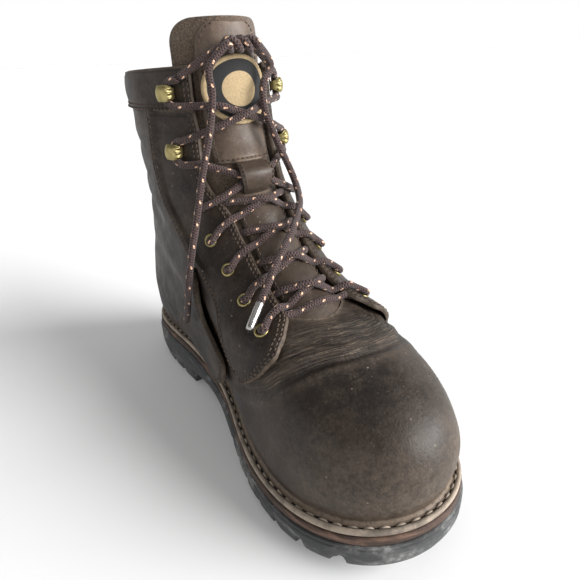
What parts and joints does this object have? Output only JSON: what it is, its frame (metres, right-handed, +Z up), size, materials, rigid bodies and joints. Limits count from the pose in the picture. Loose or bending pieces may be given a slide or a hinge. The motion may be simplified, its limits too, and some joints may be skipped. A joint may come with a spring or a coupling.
{
  "type": "hunting boot",
  "caption": "Left lace-up leather boot with lugged rubber sole, stitched welt, padded cuff and tongue, brass eyelets and hooks, and a round lace tied at the top.",
  "frame": {"origin": "middle of the sole's box, at the floor that the boot stands on", "axes": "+Z up, toe toward -Y, heel toward +Y, lateral side of this left boot at +X"},
  "size_m": [0.1178, 0.314, 0.2594],
  "materials": {
    "vamp_leather": "oiled pull-up leather, worn",
    "eyestay_leather": "oiled leather with rubbed edges",
    "quarter_leather": "oiled leather, dark",
    "cuff_leather": "padded soft leather",
    "tongue_leather": "soft dusty leather",
    "tongue_cloth": "brown woven cloth",
    "patch_cloth": "woven disc",
    "welt_leather": "stitched worn strip",
    "midsole_tan": "matte tan",
    "outsole_rubber": "matte grey-black",
    "insole_cloth": "worn felt",
    "antique_brass": "antique",
    "lace_cord": "round braid with flecks",
    "tip_metal": "worn"
  },
  "bodies": {
    "root": {"outsole": "outsole_rubber", "midsole": "midsole_tan", "welt": "welt_leather", "insole": "insole_cloth", "upper": "vamp_leather", "quarter": "quarter_leather", "eyestay_medial": "eyestay_leather", "eyestay_lateral": "eyestay_leather", "cuff": "cuff_leather", "tongue": "tongue_cloth", "tongue_pad": "tongue_leather", "tongue_strip": "tongue_leather", "keeper": "tongue_leather", "patch": "patch_cloth", "eyelet_medial_1": "antique_brass", "eyelet_medial_2": "antique_brass", "eyelet_medial_3": "antique_brass", "eyelet_medial_4": "antique_brass", "eyelet_lateral_1": "antique_brass", "eyelet_lateral_2": "antique_brass", "eyelet_lateral_3": "antique_brass", "eyelet_lateral_4": "antique_brass", "hook_medial_1": "antique_brass", "hook_medial_2": "antique_brass", "hook_lateral_1": "antique_brass", "hook_lateral_2": "antique_brass", "lace_crossings": "lace_cord", "lace_end_medial": "lace_cord", "lace_end_lateral": "lace_cord", "lace_tip": "tip_metal"}
  },
  "joints": []
}
